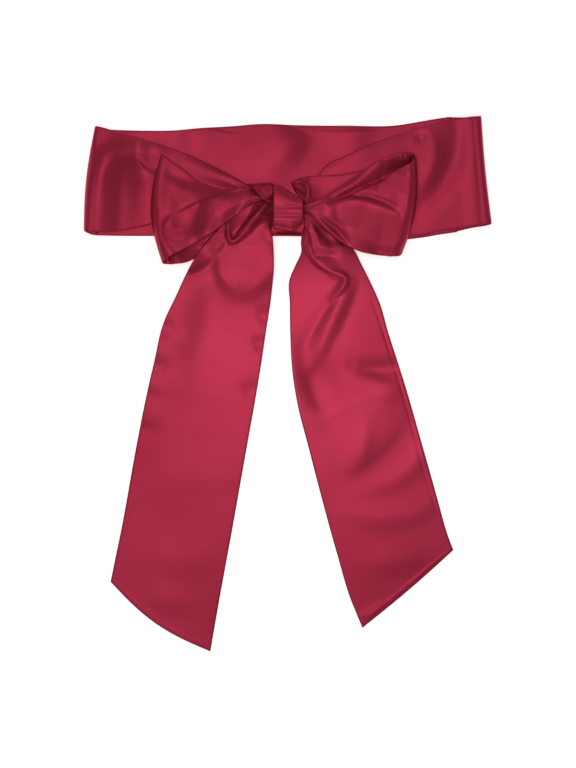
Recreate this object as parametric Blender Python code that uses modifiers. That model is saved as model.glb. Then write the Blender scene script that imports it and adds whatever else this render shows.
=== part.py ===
"""Satin sash tied in a bow and laid flat: waist loop, knot, two bow loops and two slanted tails.

Lengths in the tables are millimetres. Plan positions are read across and down a layout board whose
corner lies up and to the left of the sash; heights are read up from what the cloth lies on.
The object's frame is in metres, +Z up, with its origin under the middle of the whole sash.
"""

import math

import bpy
import numpy as np

SASH_WIDTH = 108.0
CLOTH = 1.2
SEAM_GAP = 0.3
BOARD_SIZE = (560.0, 720.0)
BOARD_MIDDLE = (287.9, 383.8)
MM = 0.001

KNOT_LEFT = 273.2
KNOT_RIGHT = 303.4
KNOT_FOOT = CLOTH + SEAM_GAP
KNOT_TOP = 25.0
KNOT_WALL = 1.4
KNOT_ROUNDNESS = 2.6
KNOT_SEAT_ROUNDNESS = 7.0
CORE_SETBACK = 3.0
CORE_GAP = 1.0

MAP_CELL = 2.0
MAP_REACH = 7.0
MAP_BLUR = 2.5

CRIMSON = (0.42, 0.022, 0.055, 1.0)
CRIMSON_SHADE = (0.20, 0.008, 0.022, 1.0)
SATIN_ROUGHNESS = 0.38

SECTION_COLUMNS = (
    "first_across", "first_down", "second_across", "second_down",
    "first_lift", "second_lift", "crown", "bow", "gather", "over", "face",
)

# Each row is one section of a stretch, from edge to edge of the cloth. Lifts and crown are the clear
# height under the two edges and the extra height of the middle; bow moves the middle off the straight
# line; gather is the height of the pleats. Over is 1 where the section lies on everything laid before
# it and 0 where it still lies beside the ply that it turns back from. Face is 1 where its folds show.
WAIST_BACK_SECTIONS = (
    (112.0, 130.0, 101.0, 235.6, 0.0, 0.0, 0.0, 0.0, 0.0, 0.0, 0.0),
    (138.0, 130.6, 132.0, 236.0, 0.0, 0.0, 0.0, 0.0, 0.0, 0.0, 1.0),
    (176.0, 130.3, 176.0, 236.0, 0.0, 0.0, 0.0, 0.0, 0.0, 0.0, 1.0),
    (203.0, 128.0, 206.0, 236.0, 0.0, 0.0, 0.0, 0.0, 0.0, 0.0, 1.0),
    (233.0, 126.2, 234.0, 236.2, 0.0, 0.0, 0.0, 0.0, 0.0, 0.0, 1.0),
    (259.0, 124.2, 259.0, 236.3, 0.0, 0.0, 0.0, 0.0, 0.0, 0.0, 1.0),
    (300.0, 125.4, 300.0, 236.5, 0.0, 0.0, 0.0, 0.0, 0.0, 0.0, 1.0),
    (345.0, 125.8, 345.0, 238.2, 0.0, 0.0, 0.0, 0.0, 0.0, 0.0, 1.0),
    (392.0, 125.8, 386.0, 241.0, 0.0, 0.0, 0.0, 0.0, 0.0, 0.0, 1.0),
    (418.0, 122.0, 424.0, 237.4, 0.0, 0.0, 0.0, 0.0, 0.0, 0.0, 1.0),
    (446.0, 116.9, 452.0, 232.6, 0.0, 0.0, 0.0, 0.0, 0.0, 0.0, 0.0),
)
WAIST_LEFT_SECTIONS = (
    (111.6, 130.0, 100.6, 235.6, 0.0, 0.0, 0.0, 0.0, 0.0, 0.0, 0.0),
    (103.5, 127.6, 92.4, 234.8, 0.0, 0.0, 0.0, -1.4, 0.0, 0.0, 0.0),
    (97.6, 126.3, 86.4, 232.4, 0.6, 0.6, 0.2, -2.6, 0.0, 0.0, 0.0),
    (95.6, 126.2, 84.4, 231.2, 2.6, 2.6, 0.6, -3.0, 0.0, 0.0, 0.2),
    (97.8, 126.9, 86.8, 231.8, 4.4, 4.2, 1.4, -2.4, 0.0, 0.4, 0.6),
    (105.0, 129.2, 97.0, 232.0, 4.6, 3.4, 2.4, -1.0, 0.0, 0.8, 1.0),
    (127.0, 135.0, 122.0, 230.6, 3.4, 2.6, 3.0, 0.0, 0.0, 1.0, 1.0),
    (146.0, 140.4, 143.0, 226.4, 3.2, 3.2, 3.4, 0.0, 0.0, 1.0, 1.0),
    (176.5, 150.4, 172.0, 219.0, 3.0, 3.4, 3.6, 0.0, 0.0, 1.0, 1.0),
    (207.4, 163.6, 205.0, 214.0, 2.6, 3.2, 3.0, 0.0, 0.3, 1.0, 1.0),
    (232.0, 175.8, 230.0, 211.0, 2.4, 3.0, 2.4, 0.0, 0.5, 1.0, 0.8),
    (252.0, 187.0, 252.0, 207.0, 2.4, 2.6, 1.4, 0.0, 0.5, 1.0, 0.3),
    (266.0, 191.5, 266.0, 205.0, 2.6, 2.6, 0.4, 0.0, 0.3, 1.0, 0.0),
    (275.6, 193.0, 275.6, 204.0, 2.8, 2.8, 0.2, 0.0, 0.0, 1.0, 0.0),
)
WAIST_RIGHT_SECTIONS = (
    (446.4, 117.0, 452.4, 232.6, 0.0, 0.0, 0.0, 0.0, 0.0, 0.0, 0.0),
    (462.0, 117.4, 470.0, 228.4, 0.0, 0.0, 0.0, 0.0, 0.0, 0.0, 0.0),
    (478.6, 116.6, 489.4, 224.8, 0.6, 0.6, 0.2, -1.0, 0.0, 0.0, 0.0),
    (480.8, 116.2, 491.3, 224.0, 2.6, 2.6, 0.6, -1.2, 0.0, 0.0, 0.2),
    (479.0, 116.4, 489.6, 224.2, 4.4, 4.4, 1.2, -1.2, 0.0, 0.4, 0.6),
    (468.0, 117.4, 476.0, 226.2, 4.4, 3.4, 2.4, 0.0, 0.0, 0.8, 1.0),
    (447.0, 120.4, 449.0, 230.4, 3.4, 2.4, 3.2, 0.0, 0.0, 1.0, 1.0),
    (418.0, 128.4, 417.0, 236.0, 3.0, 2.4, 3.4, 0.0, 0.0, 1.0, 1.0),
    (388.0, 138.2, 386.0, 232.0, 3.0, 2.6, 3.0, 0.0, 0.0, 1.0, 1.0),
    (350.0, 154.4, 352.0, 222.0, 2.6, 2.6, 2.6, 0.0, 0.2, 1.0, 1.0),
    (322.0, 170.0, 326.0, 214.0, 2.0, 2.6, 1.6, 0.0, 0.4, 1.0, 0.5),
    (310.0, 196.0, 312.0, 215.0, 2.6, 2.6, 0.4, 0.0, 0.2, 1.0, 0.0),
    (301.0, 206.0, 301.0, 215.0, 2.8, 2.8, 0.2, 0.0, 0.0, 1.0, 0.0),
)
LOOP_LEFT_BACK_SECTIONS = (
    (275.4, 198.0, 275.4, 206.0, 0.4, 0.4, 0.0, 0.0, 0.0, 1.0, 0.0),
    (262.0, 195.0, 262.0, 209.0, 0.3, 0.3, 0.0, 0.0, 0.2, 1.0, 0.0),
    (238.0, 191.5, 238.0, 221.0, 0.0, 0.0, 0.0, 0.0, 0.2, 1.0, 0.0),
    (216.0, 188.0, 216.0, 238.0, 0.0, 0.0, 0.0, 0.0, 0.0, 1.0, 0.0),
    (199.0, 182.0, 202.0, 254.0, 0.0, 0.0, 0.0, -1.0, 0.0, 1.0, 0.0),
    (184.0, 171.4, 187.0, 262.4, 0.0, 0.0, 0.0, -4.0, 0.0, 1.0, 0.0),
    (170.6, 160.4, 174.0, 264.4, 0.0, 0.0, 0.0, -8.0, 0.0, 1.0, 0.0),
)
TAIL_LEFT_SECTIONS = (
    (275.6, 206.0, 275.6, 220.5, 3.2, 4.0, 0.2, 0.0, 0.2, 1.0, 0.0),
    (270.0, 204.5, 271.4, 227.0, 3.6, 3.6, 1.0, 0.0, 0.5, 1.0, 0.0),
    (254.0, 206.0, 272.6, 236.4, 3.0, 3.0, 3.4, 0.0, 0.6, 1.0, 0.8),
    (228.0, 220.6, 273.6, 248.4, 1.6, 1.8, 5.6, 0.0, 0.5, 1.0, 1.0),
    (206.4, 242.0, 274.0, 260.0, 1.0, 1.0, 5.6, 0.0, 0.3, 1.0, 1.0),
    (193.4, 261.0, 273.8, 272.0, 0.6, 0.6, 5.0, 0.0, 0.0, 1.0, 1.0),
    (179.6, 289.0, 271.2, 296.4, 0.0, 0.0, 3.2, 0.0, 0.0, 1.0, 1.0),
    (163.4, 323.6, 266.2, 330.0, 0.0, 0.0, 1.4, 0.0, 0.0, 1.0, 1.0),
    (154.6, 360.4, 261.2, 363.8, 0.0, 0.0, 0.4, 0.0, 0.0, 1.0, 1.0),
    (147.4, 391.6, 255.4, 399.0, 0.0, 0.0, 0.0, 0.0, 0.0, 1.0, 1.0),
    (137.6, 440.0, 247.0, 446.0, 0.0, 0.0, 0.0, 0.0, 0.0, 1.0, 1.0),
    (122.4, 524.0, 231.4, 534.0, 0.0, 0.0, 0.0, 0.0, 0.0, 1.0, 1.0),
    (114.4, 563.0, 218.6, 604.0, 0.0, 0.0, 0.0, -5.0, 0.0, 1.0, 1.0),
    (110.6, 581.8, 210.4, 651.4, 0.0, 0.0, 0.0, -8.4, 0.0, 1.0, 1.0),
)
TAIL_RIGHT_SECTIONS = (
    (300.9, 216.5, 300.9, 208.0, 3.4, 3.4, 0.0, 0.0, 0.0, 1.0, 0.0),
    (304.8, 220.0, 309.4, 212.4, 3.2, 3.2, 0.4, 0.0, 0.2, 1.0, 0.0),
    (302.2, 233.0, 322.0, 224.0, 2.4, 2.6, 2.6, 0.0, 0.6, 1.0, 0.6),
    (300.8, 243.0, 337.0, 241.0, 1.8, 2.0, 4.2, 0.0, 0.8, 1.0, 1.0),
    (301.0, 253.0, 350.0, 250.6, 1.2, 1.4, 5.0, 0.0, 0.6, 1.0, 1.0),
    (296.0, 264.0, 359.4, 261.6, 0.6, 0.8, 5.2, 0.0, 0.3, 1.0, 1.0),
    (289.4, 280.0, 368.6, 279.0, 0.2, 0.4, 4.6, 0.0, 0.0, 1.0, 1.0),
    (289.8, 303.0, 379.6, 303.0, 0.0, 0.0, 3.2, 0.0, 0.0, 1.0, 1.0),
    (290.2, 332.4, 388.0, 332.0, 0.0, 0.0, 1.6, 0.0, 0.0, 1.0, 1.0),
    (292.4, 371.6, 400.6, 371.0, 0.0, 0.0, 0.6, 0.0, 0.0, 1.0, 1.0),
    (298.0, 406.6, 411.2, 406.0, 0.0, 0.0, 0.0, 0.0, 0.0, 1.0, 1.0),
    (307.6, 444.0, 420.8, 440.0, 0.0, 0.0, 0.0, 0.0, 0.0, 1.0, 1.0),
    (320.6, 494.0, 433.6, 485.0, 0.0, 0.0, 0.0, 0.0, 0.0, 1.0, 1.0),
    (337.4, 555.0, 446.4, 531.0, 0.0, 0.0, 0.0, 0.0, 0.0, 1.0, 1.0),
    (350.4, 598.6, 451.4, 545.0, 0.0, 0.0, 0.0, 0.8, 0.0, 1.0, 1.0),
    (362.4, 627.8, 453.4, 550.0, 0.0, 0.0, 0.0, -1.4, 0.0, 1.0, 1.0),
)
LOOP_LEFT_FRONT_SECTIONS = (
    (170.2, 160.0, 173.6, 264.4, 0.0, 0.0, 0.0, -8.2, 0.0, 0.0, 0.0),
    (164.6, 156.0, 166.6, 264.2, 0.4, 0.4, 0.0, -10.2, 0.0, 0.0, 0.0),
    (162.2, 154.6, 162.8, 263.4, 3.4, 3.4, 0.8, -11.0, 0.0, 0.1, 0.2),
    (163.6, 156.6, 165.4, 261.0, 6.0, 7.0, 2.4, -10.4, 0.0, 0.5, 0.6),
    (174.0, 163.6, 181.4, 251.8, 5.4, 8.6, 5.0, -6.6, 0.0, 1.0, 1.0),
    (185.0, 171.6, 197.6, 243.0, 4.8, 9.4, 6.0, -2.6, 0.3, 1.0, 1.0),
    (196.0, 180.4, 214.6, 232.0, 4.4, 9.2, 5.6, 0.0, 0.6, 1.0, 1.0),
    (210.0, 187.6, 232.0, 219.6, 4.0, 7.6, 4.4, 0.0, 0.8, 1.0, 1.0),
    (228.0, 190.4, 247.4, 207.4, 3.6, 5.6, 2.6, 0.0, 0.6, 1.0, 0.6),
    (246.0, 188.4, 257.8, 199.8, 2.8, 3.6, 1.2, 0.0, 0.3, 1.0, 0.0),
    (262.0, 193.0, 266.0, 202.0, 2.0, 2.0, 0.2, 0.0, 0.0, 1.0, 0.0),
    (275.4, 198.0, 275.4, 205.0, 1.4, 1.4, 0.0, 0.0, 0.0, 1.0, 0.0),
)
LOOP_RIGHT_BACK_SECTIONS = (
    (294.6, 182.0, 305.6, 203.6, 0.6, 1.2, 5.0, 4.6, 0.0, 1.0, 0.0),
    (301.0, 178.6, 312.0, 214.0, 0.4, 0.8, 3.6, 3.6, 0.0, 1.0, 0.0),
    (318.0, 176.4, 327.0, 228.0, 0.4, 0.4, 1.4, 1.0, 0.0, 1.0, 0.0),
    (338.0, 175.4, 343.0, 240.0, 0.2, 0.2, 0.0, 0.0, 0.0, 1.0, 0.0),
    (362.0, 170.6, 364.0, 250.0, 0.0, 0.0, 0.0, 0.0, 0.0, 1.0, 0.0),
    (386.0, 158.2, 382.0, 255.0, 0.0, 0.0, 0.0, 2.0, 0.0, 1.0, 0.0),
    (405.0, 153.4, 394.4, 256.2, 0.0, 0.0, 0.0, 6.4, 0.0, 1.0, 0.0),
)
LOOP_RIGHT_FRONT_SECTIONS = (
    (405.4, 153.4, 394.8, 256.2, 0.0, 0.0, 0.0, 6.6, 0.0, 0.0, 0.0),
    (411.4, 153.8, 399.4, 255.4, 0.5, 0.5, 0.0, 7.4, 0.0, 0.0, 0.0),
    (414.0, 155.4, 400.9, 255.2, 4.0, 3.6, 1.0, 7.6, 0.0, 0.1, 0.2),
    (413.2, 160.6, 398.6, 256.4, 8.4, 6.4, 2.4, 7.2, 0.0, 0.5, 0.6),
    (400.0, 168.0, 385.6, 256.4, 10.6, 6.8, 4.6, 5.0, 0.0, 1.0, 1.0),
    (385.4, 174.8, 366.0, 254.0, 9.6, 6.8, 5.6, 2.6, 0.3, 1.0, 1.0),
    (367.0, 170.8, 351.6, 248.8, 8.4, 6.6, 5.6, 0.0, 0.6, 1.0, 1.0),
    (350.0, 180.4, 336.0, 239.2, 7.0, 6.0, 4.8, 0.0, 0.9, 1.0, 1.0),
    (334.0, 190.8, 321.0, 227.0, 5.6, 5.0, 3.4, 0.0, 0.9, 1.0, 0.8),
    (319.0, 200.2, 311.0, 218.6, 4.0, 3.8, 1.4, 0.0, 0.5, 1.0, 0.2),
    (308.0, 205.2, 305.6, 214.4, 2.4, 2.6, 0.2, 0.0, 0.2, 1.0, 0.0),
    (300.9, 206.4, 300.9, 213.4, 1.4, 1.4, 0.0, 0.0, 0.0, 1.0, 0.0),
)
KNOT_WRAP_SECTIONS = (
    (249.0, 183.6, 271.6, 183.2, 2.4, 3.0, 0.6, 0.0, 0.2, 0.0, 1.0),
    (249.6, 185.0, 271.8, 184.4, 2.4, 3.0, 2.0, 0.0, 0.6, 0.4, 1.0),
    (252.4, 189.2, 272.0, 187.6, 0.8, 0.8, 1.6, 0.0, 1.0, 1.0, 1.0),
    (257.0, 194.4, 272.2, 191.6, 0.8, 0.8, 1.6, 0.0, 1.1, 1.0, 1.0),
    (262.0, 199.4, 272.4, 196.0, 0.6, 0.6, 0.6, 0.0, 0.7, 1.0, 1.0),
    (265.0, 202.0, 272.4, 198.4, 0.2, 0.2, 0.0, 0.0, 0.2, 0.9, 1.0),
)

FOLD_COLUMNS = (
    "start_across", "start_down", "middle_across", "middle_down", "end_across", "end_down",
    "left_spread", "right_spread", "height",
)

# Each row is one soft ridge, or one trough where its height is negative, along a line through three
# points. The spreads are how far it reaches to the left and to the right of that line.
NO_FOLDS = ()
WAIST_BACK_FOLDS = (
    (178.0, 122.0, 186.0, 150.0, 214.0, 176.0, 13.0, 18.0, 1.6),
    (238.0, 122.0, 262.0, 150.0, 268.0, 178.0, 16.0, 18.0, 2.2),
    (330.0, 122.0, 348.0, 136.0, 356.0, 150.0, 14.0, 12.0, 1.8),
)
WAIST_LEFT_FOLDS = (
    (88.0, 226.0, 92.0, 176.0, 132.0, 151.0, 8.0, 8.0, 3.4),
    (132.0, 152.0, 146.0, 164.0, 168.0, 178.0, 12.0, 7.0, 2.8),
    (122.0, 176.0, 132.0, 196.0, 132.0, 216.0, 20.0, 20.0, -3.6),
    (104.0, 134.0, 110.0, 148.0, 112.0, 150.0, 10.0, 10.0, -1.6),
    (150.0, 150.0, 200.0, 170.0, 244.0, 188.0, 9.0, 9.0, 1.2),
)
WAIST_RIGHT_FOLDS = (
    (441.0, 122.0, 446.0, 165.0, 418.0, 212.0, 10.0, 10.0, -3.8),
    (420.0, 136.0, 432.0, 152.0, 424.0, 178.0, 9.0, 9.0, 2.2),
    (476.0, 124.0, 478.0, 170.0, 484.0, 218.0, 9.0, 9.0, 1.4),
    (452.0, 176.0, 452.0, 196.0, 446.0, 222.0, 14.0, 14.0, 1.6),
    (414.0, 134.0, 370.0, 150.0, 330.0, 168.0, 9.0, 9.0, 1.4),
)
TAIL_LEFT_FOLDS = (
    (270.0, 202.0, 254.0, 222.0, 240.0, 236.0, 6.0, 7.0, 3.4),
    (262.0, 209.0, 246.0, 220.0, 236.0, 229.0, 6.0, 6.0, -2.6),
    (222.0, 246.0, 226.0, 268.0, 236.0, 284.0, 8.0, 10.0, -1.4),
    (244.0, 262.0, 246.0, 278.0, 242.0, 292.0, 14.0, 14.0, 1.8),
    (176.0, 300.0, 200.0, 330.0, 214.0, 372.0, 16.0, 16.0, 1.2),
    (236.0, 330.0, 236.0, 400.0, 222.0, 470.0, 20.0, 20.0, 1.8),
    (160.0, 372.0, 172.0, 384.0, 190.0, 388.0, 12.0, 12.0, 1.2),
    (146.0, 428.0, 170.0, 440.0, 200.0, 436.0, 12.0, 12.0, 1.2),
    (170.0, 560.0, 172.0, 590.0, 196.0, 622.0, 18.0, 18.0, 1.6),
    (128.0, 560.0, 140.0, 580.0, 150.0, 600.0, 12.0, 12.0, 1.0),
)
TAIL_RIGHT_FOLDS = (
    (306.0, 230.0, 312.0, 254.0, 330.0, 274.0, 11.0, 9.0, 2.6),
    (341.0, 284.0, 330.0, 318.0, 309.0, 366.0, 9.0, 9.0, 2.8),
    (366.0, 276.0, 376.0, 318.0, 374.0, 356.0, 13.0, 13.0, 1.6),
    (404.0, 404.0, 384.0, 438.0, 352.0, 470.0, 16.0, 16.0, 1.8),
    (344.0, 392.0, 350.0, 420.0, 356.0, 448.0, 16.0, 16.0, 1.2),
    (436.0, 490.0, 396.0, 506.0, 330.0, 498.0, 13.0, 13.0, 1.6),
    (360.0, 560.0, 384.0, 566.0, 412.0, 576.0, 16.0, 16.0, 1.4),
)
LOOP_LEFT_FOLDS = (
    (240.0, 190.0, 208.0, 198.0, 180.0, 210.0, 10.0, 6.0, 2.4),
    (172.0, 178.0, 192.0, 187.0, 210.0, 190.0, 8.0, 6.0, -2.6),
    (160.0, 214.0, 157.0, 232.0, 172.0, 251.0, 6.0, 6.0, -1.6),
    (186.0, 232.0, 188.0, 242.0, 190.0, 250.0, 9.0, 9.0, 2.0),
    (202.0, 206.0, 204.0, 222.0, 206.0, 236.0, 8.0, 8.0, -2.0),
)
LOOP_RIGHT_FOLDS = (
    (382.0, 177.4, 352.0, 190.0, 322.0, 202.0, 6.0, 6.0, -2.2),
    (370.0, 171.0, 350.0, 183.0, 326.0, 198.0, 7.0, 5.0, 1.8),
    (345.0, 200.0, 368.0, 200.0, 388.0, 210.0, 7.0, 7.0, -2.2),
    (326.0, 208.0, 372.0, 208.0, 404.0, 222.0, 8.0, 8.0, 2.0),
    (409.0, 168.0, 409.0, 196.0, 403.0, 224.0, 8.0, 8.0, 2.0),
    (392.0, 224.0, 386.0, 240.0, 382.0, 254.0, 9.0, 9.0, 1.2),
)

# name, the stretch it turns back from, sections, folds, pleats across it, stations and strips
STRETCHES = (
    ("waist_back", None, WAIST_BACK_SECTIONS, WAIST_BACK_FOLDS, 0, 24, 8),
    ("waist_left", "waist_back", WAIST_LEFT_SECTIONS, WAIST_LEFT_FOLDS, 2, 30, 9),
    ("waist_right", "waist_back", WAIST_RIGHT_SECTIONS, WAIST_RIGHT_FOLDS, 2, 28, 9),
    ("loop_left_back", None, LOOP_LEFT_BACK_SECTIONS, NO_FOLDS, 2, 14, 8),
    ("tail_left", None, TAIL_LEFT_SECTIONS, TAIL_LEFT_FOLDS, 2, 38, 10),
    ("tail_right", None, TAIL_RIGHT_SECTIONS, TAIL_RIGHT_FOLDS, 2, 38, 10),
    ("loop_left_front", "loop_left_back", LOOP_LEFT_FRONT_SECTIONS, LOOP_LEFT_FOLDS, 2, 28, 10),
    ("loop_right_back", None, LOOP_RIGHT_BACK_SECTIONS, NO_FOLDS, 2, 14, 8),
    ("loop_right_front", "loop_right_back", LOOP_RIGHT_FRONT_SECTIONS, LOOP_RIGHT_FOLDS, 2, 28, 10),
    ("knot_wrap", "waist_left", KNOT_WRAP_SECTIONS, NO_FOLDS, 3, 8, 15),
)

# across, top edge and bottom edge of the knot band, seen from above
KNOT_OUTLINE = (
    (KNOT_LEFT, 184.6, 229.2),
    (280.0, 186.8, 229.0),
    (286.0, 190.0, 230.6),
    (291.4, 193.8, 231.4),
    (296.0, 196.4, 228.8),
    (KNOT_RIGHT, 199.4, 223.4),
)
# down, spread and height of the creases that run across the knot band
KNOT_CREASES = (
    (208.4, 2.6, -1.0),
    (212.4, 2.2, 0.7),
    (216.8, 2.2, -0.8),
    (223.0, 3.0, 0.5),
)


def clear_scene():
    """Removes every object of the open file."""
    for old in list(bpy.data.objects):
        bpy.data.objects.remove(old)


def satin(name, colour):
    """A Principled material of the cloth's colour."""
    material = bpy.data.materials.new(name)
    material.use_nodes = True
    shader = material.node_tree.nodes["Principled BSDF"]
    shader.inputs["Base Color"].default_value = colour
    shader.inputs["Roughness"].default_value = SATIN_ROUGHNESS
    shader.inputs["Metallic"].default_value = 0.0
    material.diffuse_color = colour
    return material


def to_frame(across, down, up):
    """Board millimetres to metres in the object's frame."""
    return np.stack(
        [(across - BOARD_MIDDLE[0]) * MM, (BOARD_MIDDLE[1] - down) * MM, up * MM], axis=-1
    )


class Board:
    """How high the cloth already laid down reaches, on a grid over the layout board."""

    def __init__(self):
        self.shape = tuple(int(side / MAP_CELL) for side in BOARD_SIZE)
        self.height = np.zeros(self.shape)
        self.before = {None: np.zeros(self.shape)}

    def lay(self, across, down, top):
        """Records a stretch whose upper face is at these grid points."""
        fine = 6
        parts = [refined(values, fine) for values in (across, down, top)]
        column = np.clip((parts[0] / MAP_CELL).astype(int), 0, self.shape[0] - 1)
        row = np.clip((parts[1] / MAP_CELL).astype(int), 0, self.shape[1] - 1)
        np.maximum.at(self.height, (column, row), parts[2] + SEAM_GAP)

    def support(self):
        """The heights widened and then softened, so that cloth laid over an edge clears it."""
        reach = int(round(MAP_REACH / MAP_CELL))
        wide = self.height
        for axis in (0, 1):
            shifts = [np.roll(wide, shift, axis) for shift in range(-reach, reach + 1)]
            wide = np.max(shifts, axis=0)
        spread = np.arange(-reach, reach + 1) * MAP_CELL
        weights = np.exp(-((spread / MAP_BLUR) ** 2) / 2)
        weights /= weights.sum()
        for axis in (0, 1):
            wide = sum(
                weight * np.roll(wide, shift, axis)
                for shift, weight in zip(range(-reach, reach + 1), weights)
            )
        return wide

    def under(self, support, across, down):
        """The support height at each point, between its four nearest cells."""
        x = np.clip(across / MAP_CELL - 0.5, 0, self.shape[0] - 1.001)
        y = np.clip(down / MAP_CELL - 0.5, 0, self.shape[1] - 1.001)
        i, j = x.astype(int), y.astype(int)
        fx, fy = x - i, y - j
        near = support[i, j] * (1 - fx) + support[i + 1, j] * fx
        far = support[i, j + 1] * (1 - fx) + support[i + 1, j + 1] * fx
        return near * (1 - fy) + far * fy


def refined(values, fine):
    """A grid of values with this many steps between neighbours, in straight lines."""
    for axis in (0, 1):
        count = values.shape[axis]
        at = np.linspace(0, count - 1, (count - 1) * fine + 1)
        low = np.minimum(at.astype(int), count - 2)
        share = (at - low).reshape((-1, 1) if axis == 0 else (1, -1))
        values = np.take(values, low, axis) * (1 - share) + np.take(values, low + 1, axis) * share
    return values


def smooth_rows(at, rows, wanted):
    """A smooth curve through each column of a table, read at the wanted places."""
    step = np.diff(at)
    secant = np.diff(rows, axis=0) / step[:, None]
    slope = np.empty_like(rows)
    slope[0], slope[-1] = secant[0], secant[-1]
    before, after = step[:-1, None], step[1:, None]
    slope[1:-1] = (secant[:-1] * after + secant[1:] * before) / (before + after)
    low = np.clip(np.searchsorted(at, wanted, side="right") - 1, 0, len(at) - 2)
    size = step[low][:, None]
    s = ((wanted - at[low]) / step[low])[:, None]
    start, end = rows[low], rows[low + 1]
    return (
        (2 * s**3 - 3 * s**2 + 1) * start
        + (s**3 - 2 * s**2 + s) * size * slope[low]
        + (3 * s**2 - 2 * s**3) * end
        + (s**3 - s**2) * size * slope[low + 1]
    )


def section_places(rows):
    """How far along the cloth each section lies, measured at its middle."""
    table = np.array(rows)
    middle = np.stack(
        [
            (table[:, 0] + table[:, 2]) / 2,
            (table[:, 1] + table[:, 3]) / 2,
            (table[:, 4] + table[:, 5]) / 2,
        ],
        axis=1,
    )
    lengths = np.linalg.norm(np.diff(middle, axis=0), axis=1)
    return np.concatenate([[0.0], np.cumsum(lengths)])


def fold_height(across, down, fold):
    """The height that one fold adds at each point of the plan."""
    start, middle, end = np.array(fold[:6]).reshape(3, 2)
    left, right, height = fold[6:]
    s = np.linspace(0, 1, 25)[:, None]
    control = 2 * middle - (start + end) / 2
    line = (1 - s) ** 2 * start + 2 * s * (1 - s) * control + s**2 * end
    away = np.stack([across, down], axis=-1)[..., None, :] - line
    nearest = np.argmin((away**2).sum(-1), axis=-1)
    offset = np.take_along_axis(away, nearest[..., None, None], axis=-2)[..., 0, :]
    along = np.gradient(line, axis=0)[nearest]
    side = along[..., 0] * offset[..., 1] - along[..., 1] * offset[..., 0]
    spread = np.where(side > 0, right, left)
    place = nearest / (len(line) - 1)
    fade = np.sin(math.pi * (0.12 + 0.76 * place))
    return height * fade * np.exp(-(offset**2).sum(-1) / spread**2)


def lifted(height):
    """Keeps cloth out of what it lies on, with a soft start and no crease."""
    soft = 1.2
    rising = np.where(height < soft, height**2 / (2 * soft), height - soft / 2)
    return np.where(height > 0, rising, 0.0)


def stretch_grid(rows, folds, pleats, stations, strips, board, turned_from):
    """Across, down and height of the middle of the wall, on a grid along and across a stretch."""
    places = section_places(rows)
    row_shares = np.linspace(0, len(rows) - 1, stations + 1)
    wanted = np.interp(row_shares, np.arange(len(rows)), places)
    columns = smooth_rows(places, np.array(rows), wanted)
    table = dict(zip(SECTION_COLUMNS, columns.T[:, :, None]))
    v = np.linspace(0, 1, strips + 1)[None, :]
    run_across = table["second_across"] - table["first_across"]
    run_down = table["second_down"] - table["first_down"]
    width = np.hypot(run_across, run_down)
    off_line = table["bow"] * np.sin(math.pi * v)
    across = table["first_across"] + run_across * v + off_line * run_down / width
    down = table["first_down"] + run_down * v - off_line * run_across / width
    free = table["first_lift"] * (1 - v) + table["second_lift"] * v
    free = free + table["crown"] * np.sin(math.pi * v)
    free = free + table["gather"] * np.sin(2 * math.pi * pleats * v)
    relief = sum((fold_height(across, down, fold) for fold in folds), np.zeros_like(across))
    free = lifted(free + np.clip(table["face"], 0, 1) * relief)
    over = np.clip(table["over"], 0, 1)
    beside = board.under(board.before[turned_from], across, down)
    below = board.under(board.support(), across, down)
    return across, down, beside * (1 - over) + below * over + free + CLOTH / 2


def grid_faces(rows, columns, closed=False):
    """The four-sided faces of a grid of points, closed round its columns if asked."""
    last = columns if closed else columns - 1
    return [
        (
            i * columns + j,
            (i + 1) * columns + j,
            (i + 1) * columns + (j + 1) % columns,
            i * columns + (j + 1) % columns,
        )
        for i in range(rows - 1)
        for j in range(last)
    ]


def add_object(name, points, faces, material, collection):
    """A named object with smooth faces."""
    mesh = bpy.data.meshes.new(name)
    mesh.from_pydata([tuple(p) for p in points], [], faces)
    mesh.update()
    mesh.shade_smooth()
    mesh.materials.append(material)
    made = bpy.data.objects.new(name, mesh)
    collection.objects.link(made)
    return made


def add_wall(made, thickness):
    """Thickens an open surface evenly to both sides."""
    wall = made.modifiers.new("wall", "SOLIDIFY")
    wall.thickness = thickness * MM
    wall.offset = 0.0
    wall.use_even_offset = False


def add_stretch(plan, board, material, collection):
    """One stretch of the sash, laid on what is already on the board."""
    name, turned_from, rows, folds, pleats, stations, strips = plan
    across, down, up = stretch_grid(rows, folds, pleats, stations, strips, board, turned_from)
    points = to_frame(across, down, up).reshape(-1, 3)
    made = add_object(name, points, grid_faces(*across.shape), material, collection)
    add_wall(made, CLOTH)
    board.before[name] = board.support()
    board.lay(across, down, up + CLOTH / 2)
    return made


def knot_rings(inset, start, end, stations, sides):
    """Rings of the knot, each a rounded upright section, moved in by the inset."""
    outline = np.array(KNOT_OUTLINE)
    places = np.linspace(start, end, stations)
    edges = smooth_rows(outline[:, 0], outline[:, 1:], places)
    turn = np.linspace(0, 2 * math.pi, sides, endpoint=False)[None, :]
    top, bottom = edges[:, :1] + inset, edges[:, 1:] - inset
    half_height = (KNOT_TOP - KNOT_FOOT) / 2 - inset
    cosine, sine = np.cos(turn), np.sin(turn)
    power = np.where(sine > 0, 2 / KNOT_ROUNDNESS, 2 / KNOT_SEAT_ROUNDNESS)
    down = (top + bottom) / 2 + (bottom - top) / 2 * np.sign(cosine) * np.abs(cosine) ** power
    up = (KNOT_TOP + KNOT_FOOT) / 2 + half_height * np.sign(sine) * np.abs(sine) ** power
    across = np.broadcast_to(places[:, None], down.shape)
    crease = sum(
        height * np.exp(-(((down - place) / spread) ** 2))
        for place, spread, height in KNOT_CREASES
    )
    return across, down, up + crease * (sine > 0) * np.abs(sine)


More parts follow.
